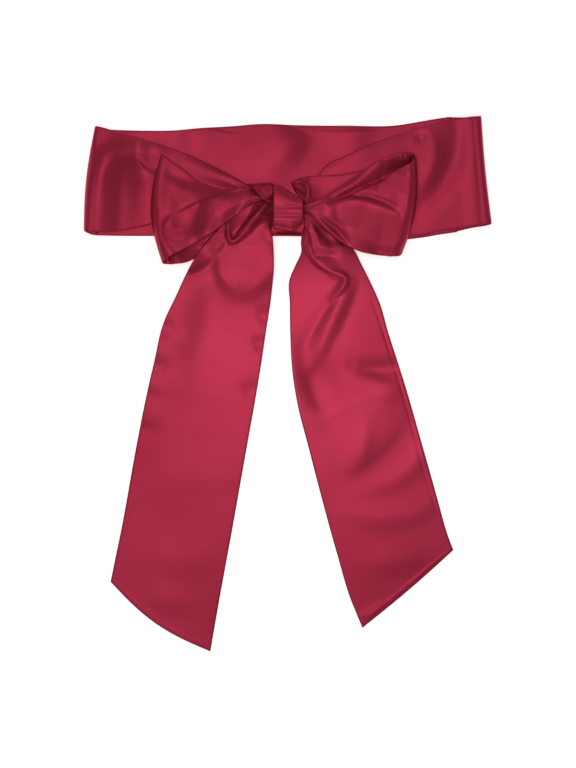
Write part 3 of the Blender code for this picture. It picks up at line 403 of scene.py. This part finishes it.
# Each row is one stretch of the sash, the lowest first: its name, the stretch it turns back from, its
# sections, its folds, the pleats across it, how it is held, and its cut's width and length.
STRETCHES = (
    ("waist_back", None, WAIST_BACK_SECTIONS, WAIST_BACK_FOLDS,
     0, "laid", CUT_WIDTH, 350.0),
    ("waist_left", "waist_back", WAIST_LEFT_SECTIONS, WAIST_LEFT_FOLDS,
     3, "gathered", CUT_WIDTH, 210.0),
    ("waist_right", "waist_back", WAIST_RIGHT_SECTIONS, WAIST_RIGHT_FOLDS,
     3, "gathered", CUT_WIDTH, 220.0),
    ("loop_left_back", None, LOOP_LEFT_BACK_SECTIONS, LOOP_LEFT_BACK_FOLDS,
     2, "gathered", CUT_WIDTH, 110.0),
    ("tail_left", None, TAIL_LEFT_SECTIONS, TAIL_LEFT_FOLDS,
     3, "gathered", CUT_WIDTH, 450.0),
    ("tail_right", None, TAIL_RIGHT_SECTIONS, TAIL_RIGHT_FOLDS,
     3, "gathered", CUT_WIDTH, 420.0),
    ("loop_left_front", "loop_left_back", LOOP_LEFT_FRONT_SECTIONS, LOOP_LEFT_FRONT_FOLDS,
     3, "gathered", CUT_WIDTH, 130.0),
    ("loop_right_back", None, LOOP_RIGHT_BACK_SECTIONS, LOOP_RIGHT_BACK_FOLDS,
     2, "gathered", CUT_WIDTH, 110.0),
    ("loop_right_front", "loop_right_back", LOOP_RIGHT_FRONT_SECTIONS, LOOP_RIGHT_FRONT_FOLDS,
     3, "gathered", CUT_WIDTH, 130.0),
    ("knot_wrap", "waist_left", KNOT_WRAP_SECTIONS, KNOT_WRAP_FOLDS,
     4, "gathered", 30.0, 25.0),
)

# Each row is a place across the knot band, with its top edge and bottom edge as seen from above.
KNOT_OUTLINE = (
    (KNOT_LEFT, 184.6, 229.2),
    (280.0, 186.8, 229.0),
    (286.0, 190.0, 230.6),
    (291.4, 193.8, 231.4),
    (296.0, 196.4, 228.8),
    (KNOT_RIGHT, 199.4, 223.4),
)
# Each row is a crease that runs across the knot band: how far down it lies, its spread and height.
KNOT_CREASES = (
    (208.4, 1.8, -1.0),
    (212.4, 2.0, 0.7),
    (216.8, 1.8, -0.9),
    (223.0, 3.0, 0.5),
)


def to_frame(across, down, up):
    """Board millimetres to metres in the object's frame."""
    return np.stack(
        [(across - BOARD_MIDDLE[0]) * MM, (BOARD_MIDDLE[1] - down) * MM, up * MM], axis=-1
    )


class Board:
    """How high the cloth already laid down reaches, on a grid over the layout board."""

    def __init__(self):
        self.shape = tuple(int(side / MAP_CELL) for side in BOARD_SIZE)
        self.height = np.zeros(self.shape)
        self.before = {None: np.zeros(self.shape)}

    def lay(self, across, down, top):
        """Records a stretch whose upper face is at these grid points."""
        across, down, top = (refined(values, MAP_FINENESS) for values in (across, down, top))
        column = np.clip((across / MAP_CELL).astype(int), 0, self.shape[0] - 1)
        row = np.clip((down / MAP_CELL).astype(int), 0, self.shape[1] - 1)
        np.maximum.at(self.height, (column, row), top + SEAM_GAP)

    def support(self):
        """The heights widened and then softened, so that cloth laid over an edge clears it."""
        reach = int(round(MAP_REACH / MAP_CELL))
        wide = self.height
        for axis in (0, 1):
            shifts = [np.roll(wide, shift, axis) for shift in range(-reach, reach + 1)]
            wide = np.max(shifts, axis=0)
        spread = np.arange(-reach, reach + 1) * MAP_CELL
        weights = np.exp(-((spread / MAP_BLUR) ** 2) / 2)
        weights /= weights.sum()
        for axis in (0, 1):
            wide = sum(
                weight * np.roll(wide, shift, axis)
                for shift, weight in zip(range(-reach, reach + 1), weights)
            )
        return wide

    def under(self, support, across, down):
        """The support height at each point, between its four nearest cells."""
        x = np.clip(across / MAP_CELL - 0.5, 0, self.shape[0] - 1 - MAP_MARGIN)
        y = np.clip(down / MAP_CELL - 0.5, 0, self.shape[1] - 1 - MAP_MARGIN)
        column, row = x.astype(int), y.astype(int)
        past_x, past_y = x - column, y - row
        near = support[column, row] * (1 - past_x) + support[column + 1, row] * past_x
        far = support[column, row + 1] * (1 - past_x) + support[column + 1, row + 1] * past_x
        return near * (1 - past_y) + far * past_y


def by_name(columns, rows):
    """The columns of a table, each under its name."""
    return dict(zip(columns, np.array(rows).T))


def refined(values, fine):
    """A grid of values with this many steps between neighbours, in straight lines."""
    for axis in (0, 1):
        count = values.shape[axis]
        at = np.linspace(0, count - 1, (count - 1) * fine + 1)
        low = np.minimum(at.astype(int), count - 2)
        share = (at - low).reshape((-1, 1) if axis == 0 else (1, -1))
        values = np.take(values, low, axis) * (1 - share) + np.take(values, low + 1, axis) * share
    return values


def smooth_rows(at, rows, wanted):
    """A smooth curve through each column of a table, read at the wanted places."""
    step = np.diff(at)
    secant = np.diff(rows, axis=0) / step[:, None]
    slope = np.empty_like(rows)
    slope[0], slope[-1] = secant[0], secant[-1]
    before, after = step[:-1, None], step[1:, None]
    slope[1:-1] = (secant[:-1] * after + secant[1:] * before) / (before + after)
    low = np.clip(np.searchsorted(at, wanted, side="right") - 1, 0, len(at) - 2)
    size = step[low][:, None]
    s = ((wanted - at[low]) / step[low])[:, None]
    start, end = rows[low], rows[low + 1]
    return (
        (2 * s**3 - 3 * s**2 + 1) * start
        + (s**3 - 2 * s**2 + s) * size * slope[low]
        + (3 * s**2 - 2 * s**3) * end
        + (s**3 - s**2) * size * slope[low + 1]
    )


def section_places(rows):
    """How far along the cloth each section lies, measured at its middle."""
    table = by_name(SECTION_COLUMNS, rows)
    middle = np.stack(
        [
            (table["first_across"] + table["second_across"]) / 2,
            (table["first_down"] + table["second_down"]) / 2,
            (table["first_lift"] + table["second_lift"]) / 2,
        ],
        axis=1,
    )
    lengths = np.linalg.norm(np.diff(middle, axis=0), axis=1)
    return np.concatenate([[0.0], np.cumsum(lengths)])


def fold_line(fold):
    """Points along a fold, on a smooth curve through its start, middle and end."""
    start = np.array([fold["start_across"], fold["start_down"]])
    middle = np.array([fold["middle_across"], fold["middle_down"]])
    end = np.array([fold["end_across"], fold["end_down"]])
    s = np.linspace(0, 1, FOLD_POINTS)[:, None]
    control = 2 * middle - (start + end) / 2
    return (1 - s) ** 2 * start + 2 * s * (1 - s) * control + s**2 * end


def fold_height(across, down, row):
    """The height that one fold adds at each point of the plan."""
    fold = dict(zip(FOLD_COLUMNS, row))
    line = fold_line(fold)
    last = FOLD_POINTS - 1
    away = np.stack([across, down], axis=-1)[..., None, :] - line
    nearest = np.argmin((away**2).sum(-1), axis=-1)
    offset = np.take_along_axis(away, nearest[..., None, None], axis=-2)[..., 0, :]
    step = np.gradient(line, axis=0)[nearest]
    step_length = np.linalg.norm(step, axis=-1)
    ahead = (step * offset).sum(-1) / step_length
    side = (step[..., 0] * offset[..., 1] - step[..., 1] * offset[..., 0]) / step_length
    past = np.where(nearest == 0, np.minimum(ahead, 0), 0)
    past = np.where(nearest == last, np.maximum(ahead, 0), past)
    spread = np.where(side > 0, fold["right_spread"], fold["left_spread"])
    end_spread = max(fold["left_spread"], fold["right_spread"])
    place = np.clip((nearest + ahead / step_length) / last, 0, 1)
    fade = np.sin(math.pi * (FOLD_END + (1 - 2 * FOLD_END) * place))
    return fold["height"] * fade * np.exp(-((side / spread) ** 2) - (past / end_spread) ** 2)


def lifted(height):
    """Keeps cloth out of what it lies on, with a soft start and no crease."""
    settling = height**2 / (2 * SOFT_LANDING)
    rising = np.where(height < SOFT_LANDING, settling, height - SOFT_LANDING / 2)
    return np.where(height > 0, rising, 0.0)


def stretch_grid(rows, folds, pleats, board, turned_from):
    """Across, down and underside height on a fine grid along and across a stretch."""
    places = section_places(rows)
    edges = by_name(SECTION_COLUMNS, rows)
    widths = np.hypot(
        edges["second_across"] - edges["first_across"],
        edges["second_down"] - edges["first_down"],
    )
    step = min(GRID_STEP, widths.max() / FEWEST_STRIPS)
    stations = int(places[-1] / step)
    strips = int(widths.max() / step)
    wanted = np.linspace(0, places[-1], stations + 1)
    columns = smooth_rows(places, np.array(rows), wanted)
    table = dict(zip(SECTION_COLUMNS, columns.T[:, :, None]))
    v = np.linspace(0, 1, strips + 1)[None, :]
    run_across = table["second_across"] - table["first_across"]
    run_down = table["second_down"] - table["first_down"]
    width = np.hypot(run_across, run_down)
    off_line = table["bow"] * np.sin(math.pi * v)
    across = table["first_across"] + run_across * v + off_line * run_down / width
    down = table["first_down"] + run_down * v - off_line * run_across / width
    free = table["first_lift"] * (1 - v) + table["second_lift"] * v
    free = free + table["crown"] * np.sin(math.pi * v)
    free = free + table["gather"] * np.sin(2 * math.pi * pleats * v)
    relief = sum((fold_height(across, down, row) for row in folds), np.zeros_like(across))
    free = lifted(free + np.clip(table["face"], 0, 1) * relief)
    over = np.clip(table["over"], 0, 1)
    beside = board.under(board.before[turned_from], across, down)
    below = board.under(board.support(), across, down)
    return across, down, beside * (1 - over) + below * over + free


def face_directions(points):
    """The upward-side direction of a grid of points."""
    along = np.gradient(points, axis=0)
    across = np.gradient(points, axis=1)
    normal = np.cross(across, along)
    return normal / np.maximum(np.linalg.norm(normal, axis=-1, keepdims=True), TINY)


def edge_distance(points):
    """Millimetres from each grid point to the nearest edge, along the cloth and across it."""
    along = np.linalg.norm(np.diff(points, axis=0), axis=-1).cumsum(axis=0)
    along = np.concatenate([np.zeros((1, points.shape[1])), along]) / MM
    across = np.linalg.norm(np.diff(points, axis=1), axis=-1).cumsum(axis=1)
    across = np.concatenate([np.zeros((points.shape[0], 1)), across], axis=1) / MM
    ends = np.minimum(along, along[-1:] - along)
    sides = np.minimum(across, across[:, -1:] - across)
    return np.minimum(ends, sides), along, across


def shell_mesh(name, under):
    """A closed thin shell with rounded edges on a grid of underside points."""
    normal = face_directions(under)
    upward = np.sign(normal[..., 2].sum())
    normal = normal * upward
    distance, along, across = edge_distance(under)
    inward = np.clip(distance / EDGE_ROUNDING, 0, 1)
    half = SHELL / 2 * MM * np.sqrt(1 - (1 - inward) ** 2)[..., None]
    middle = under + np.array([0, 0, SHELL / 2 * MM])
    top, bottom = middle + normal * half, middle - normal * half
    rows, columns = distance.shape
    edge = distance < TINY
    index_top = np.arange(rows * columns).reshape(rows, columns)
    index_bottom = np.where(edge, index_top, index_top + rows * columns)
    points = np.concatenate([top.reshape(-1, 3), bottom.reshape(-1, 3)])
    quads_top = grid_quads(index_top)
    quads_bottom = grid_quads(index_bottom)
    if upward > 0:
        quads_top = quads_top[:, ::-1]
    else:
        quads_bottom = quads_bottom[:, ::-1]
    faces = np.concatenate([quads_top, quads_bottom])
    uv = np.stack([across, along], axis=-1).reshape(-1, 2) * MM
    return trimmed_object(name, points, faces, np.concatenate([uv, uv]))


def grid_quads(index, closed=False):
    """Four-sided faces between neighbouring entries of a grid of point numbers."""
    if closed:
        index = np.concatenate([index, index[:, :1]], axis=1)
    corners = (index[:-1, :-1], index[1:, :-1], index[1:, 1:], index[:-1, 1:])
    return np.stack([corner.reshape(-1) for corner in corners], axis=-1)


def trimmed_object(name, points, faces, uv):
    """An object from points and quads, without the points that no face uses."""
    used = np.unique(faces)
    renumber = np.zeros(len(points), dtype=int)
    renumber[used] = np.arange(len(used))
    return mesh_object(name, points[used], renumber[faces].tolist(), uv[used])


def mesh_object(name, points, faces, uv):
    """A smooth-shaded object from points, a list of faces and texture places."""
    mesh = bpy.data.meshes.new(name)
    mesh.from_pydata(points.tolist(), [], faces)
    layer = mesh.uv_layers.new(name="cloth")
    loops = np.empty(len(mesh.loops), dtype=np.int32)
    mesh.loops.foreach_get("vertex_index", loops)
    layer.data.foreach_set("uv", uv[loops].astype(np.float32).ravel())
    mesh.shade_smooth()
    return scene_object(name, mesh)


def scene_object(name, data):
    """An object for this mesh, light or camera, put into the scene."""
    made = bpy.data.objects.new(name, data)
    bpy.context.scene.collection.objects.link(made)
    return made


def knot_rings(inset, start, end, stations, sides):
    """Rings of the knot, each a rounded upright section, moved in by the inset."""
    outline = np.array(KNOT_OUTLINE)
    places = np.linspace(start, end, stations)
    edges = smooth_rows(outline[:, 0], outline[:, 1:], places)
    turn = np.linspace(0, 2 * math.pi, sides, endpoint=False)[None, :]
    top, bottom = edges[:, :1] + inset, edges[:, 1:] - inset
    half_height = (KNOT_TOP - KNOT_FOOT) / 2 - inset
    cosine, sine = np.cos(turn), np.sin(turn)
    power = np.where(sine > 0, 2 / KNOT_ROUNDNESS, 2 / KNOT_SEAT_ROUNDNESS)
    down = (top + bottom) / 2 + (bottom - top) / 2 * np.sign(cosine) * np.abs(cosine) ** power
    up = (KNOT_TOP + KNOT_FOOT) / 2 + half_height * np.sign(sine) * np.abs(sine) ** power
    across = np.broadcast_to(places[:, None], down.shape)
    crease = sum(
        height * np.exp(-(((down - place) / spread) ** 2))
        for place, spread, height in KNOT_CREASES
    )
    return across, down, up + crease * (sine > 0) * np.abs(sine)


def knot_band():
    """The cloth that wraps the knot, a closed ring with rounded rims."""
    stations, sides = BAND_GRID
    inner_inset = KNOT_WALL - BAND_INSET
    outer = to_frame(*knot_rings(BAND_INSET, KNOT_LEFT, KNOT_RIGHT, stations, sides))
    inner = to_frame(*knot_rings(inner_inset, KNOT_LEFT, KNOT_RIGHT, stations, sides))
    place = np.linspace(0, KNOT_RIGHT - KNOT_LEFT, stations)
    from_rim = np.minimum(place, place[::-1])
    inward = np.clip(from_rim / EDGE_ROUNDING, 0, 1)
    share = np.sqrt(1 - (1 - inward) ** 2)[:, None, None]
    middle = (outer + inner) / 2
    outer = middle + (outer - middle) * share
    inner = middle + (inner - middle) * share
    index_outer = np.arange(stations * sides).reshape(stations, sides)
    index_inner = index_outer + stations * sides
    index_inner[0] = index_outer[0]
    index_inner[-1] = index_outer[-1]
    points = np.concatenate([outer.reshape(-1, 3), inner.reshape(-1, 3)])
    faces = np.concatenate(
        [grid_quads(index_outer, True), grid_quads(index_inner, True)[:, ::-1]]
    )
    turn = np.broadcast_to(np.linspace(0, KNOT_GIRTH, sides)[None, :], (stations, sides))
    along = np.broadcast_to(place[:, None], turn.shape)
    uv = np.stack([along, turn], axis=-1).reshape(-1, 2) * MM
    return trimmed_object("band_cloth", points, faces, np.concatenate([uv, uv]))


def knot_core():
    """The hidden turns of cloth inside the knot."""
    inset = KNOT_WALL + CORE_GAP
    start, end = KNOT_LEFT + CORE_SETBACK, KNOT_RIGHT - CORE_SETBACK
    stations, sides = CORE_GRID
    across, down, up = knot_rings(inset, start, end, stations, sides)
    points = to_frame(across, down, up).reshape(-1, 3)
    middles = points.reshape(stations, sides, 3).mean(axis=1)
    points = np.concatenate([points, middles[:1], middles[-1:]])
    quads = grid_quads(np.arange(stations * sides).reshape(stations, sides), True)
    ring = np.arange(sides)
    start_cap = np.stack([ring, (ring + 1) % sides, np.full(sides, stations * sides)], axis=-1)
    last = ring + (stations - 1) * sides
    end_cap = np.stack([np.roll(last, -1), last, np.full(sides, stations * sides + 1)], axis=-1)
    faces = quads.tolist() + start_cap.tolist() + end_cap.tolist()
    return mesh_object("core_cloth", points, faces, points[:, :2] + CORE_UV_SHIFT)


def shaded_material(name, values):
    """A material with these values on its shader's own sockets."""
    material = bpy.data.materials.new(name)
    material.use_nodes = True
    shader = material.node_tree.nodes["Principled BSDF"]
    for socket, value in values.items():
        shader.inputs[socket].default_value = value
    return material


def shader_node(tree, kind, place, **values):
    """A node with its named properties or inputs set."""
    node = tree.nodes.new(kind)
    node.location = place
    for key, value in values.items():
        if key in node.inputs:
            node.inputs[key].default_value = value
        else:
            setattr(node, key, value)
    return node


def satin_material(name, base, deep):
    """Satin with a soft sheen, soft patches of two tones and a fine weave."""
    material = shaded_material(name, SATIN_SHEEN)
    tree = material.node_tree
    shader = tree.nodes["Principled BSDF"]
    places = shader_node(tree, "ShaderNodeTexCoord", (-1300, 0))
    patches = shader_node(tree, "ShaderNodeTexNoise", (-900, 200), **PATCH_NOISE)
    ramp = shader_node(tree, "ShaderNodeValToRGB", (-650, 200))
    for stop, position, colour in zip(ramp.color_ramp.elements, PATCH_BLEND, (deep, base)):
        stop.position = position
        stop.color = colour
    tree.links.new(places.outputs["Object"], patches.inputs["Vector"])
    tree.links.new(patches.outputs["Fac"], ramp.inputs["Fac"])
    tree.links.new(ramp.outputs["Color"], shader.inputs["Base Color"])
    stretch = shader_node(tree, "ShaderNodeMapping", (-1100, -300))
    stretch.inputs["Scale"].default_value = WEAVE_STRETCH
    weave = shader_node(tree, "ShaderNodeTexNoise", (-900, -300), **WEAVE_NOISE)
    bump = shader_node(tree, "ShaderNodeBump", (-600, -300), **WEAVE_BUMP)
    tree.links.new(places.outputs["UV"], stretch.inputs["Vector"])
    tree.links.new(stretch.outputs["Vector"], weave.inputs["Vector"])
    tree.links.new(weave.outputs["Fac"], bump.inputs["Height"])
    tree.links.new(bump.outputs["Normal"], shader.inputs["Normal"])
    return material


def add_floor():
    """A plain pale floor under the sash."""
    mesh = bpy.data.meshes.new("floor")
    corners = [(x * FLOOR_REACH, y * FLOOR_REACH, 0) for x, y in ((-1, -1), (1, -1), (1, 1), (-1, 1))]
    mesh.from_pydata(corners, [], [(0, 1, 2, 3)])
    mesh.materials.append(shaded_material("pale_floor", FLOOR_SHEEN))
    floor = scene_object("floor", mesh)


def place_light(name, light, place, aim):
    """Puts a light at a place, facing along the aim."""
    made = scene_object(name, light)
    made.location = place
    made.rotation_euler = aim.to_track_quat("-Z", "Y").to_euler()


def add_light(name, place, size, power):
    """A soft square light that faces the upper tails."""
    light = bpy.data.lights.new(name, "AREA")
    light.size = size
    light.energy = power
    place_light(name, light, place, Vector(LIGHT_TARGET) - Vector(place))


def add_pool(name, place):
    """A soft round light that fades to nothing at the pool's reach from its target."""
    light = bpy.data.lights.new(name, "SPOT")
    light.energy = POOL_POWER
    light.shadow_soft_size = POOL_SOURCE_RADIUS
    light.spot_blend = 1.0
    aim = Vector(POOL_TARGET) - Vector(place)
    light.spot_size = 2 * math.atan(POOL_REACH / aim.length)
    place_light(name, light, place, aim)


def add_lights():
    """Studio light: a pale room, a large key overhead, four pools on the tails and two fills."""
    world = bpy.data.worlds.new("studio")
    world.use_nodes = True
    backdrop = world.node_tree.nodes["Background"]
    backdrop.inputs["Color"].default_value = WHITE
    backdrop.inputs["Strength"].default_value = ROOM_LIGHT
    bpy.context.scene.world = world
    add_light("key", **KEY_LIGHT)
    for number, (x, y) in enumerate(POOL_PLACES):
        add_pool(f"pool_{number}", (x, y, POOL_HEIGHT))
    add_light("upper_fill", **UPPER_FILL)
    add_light("lower_fill", **LOWER_FILL)


def add_camera():
    """A long lens straight above the middle of the sash, a board millimetre to a pixel."""
    data = bpy.data.cameras.new("camera")
    data.sensor_fit = "VERTICAL"
    data.sensor_height = SENSOR_HEIGHT
    data.lens = LENS
    camera = scene_object("camera", data)
    height = VIEW_HEIGHT * LENS / SENSOR_HEIGHT
    across, down = VIEW_MIDDLE
    camera.location = ((across - BOARD_MIDDLE[0]) * MM, (BOARD_MIDDLE[1] - down) * MM, height)
    bpy.context.scene.camera = camera


def finish_piece(piece, node, material):
    """Gives a piece its material, puts it under the root body and hides the part of the model that it
    stands for.
    """
    piece.data.materials.append(material)
    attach(piece, "root")
    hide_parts(node)


def build():
    """Lays the cloth down, the lowest stretch first, and then makes the knot."""
    cloth = satin_material("satin", CRIMSON, CRIMSON_DEEP)
    # A darker copy of the satin: painted shade for the core inside the knot.
    core_painted_shade = satin_material("painted_shade_satin", PAINTED_SHADE, PAINTED_SHADE_DEEP)
    board = Board()
    for name, turned_from, rows, folds, pleats, held, cut_width, cut_length in STRETCHES:
        across, down, under = stretch_grid(rows, folds, pleats, board, turned_from)
        piece = shell_mesh(name + "_cloth", to_frame(across, down, under))
        finish_piece(piece, name, cloth)
        board.before[name] = board.support()
        board.lay(across, down, under + PLY_SPACE)
    band = knot_band()
    finish_piece(band, "knot_band", cloth)
    # The core gets the satin in painted shade.
    core = knot_core()
    finish_piece(core, "knot_core", core_painted_shade)


build()
add_floor()
add_lights()
add_camera()
bpy.context.scene.view_settings.view_transform = "Standard"
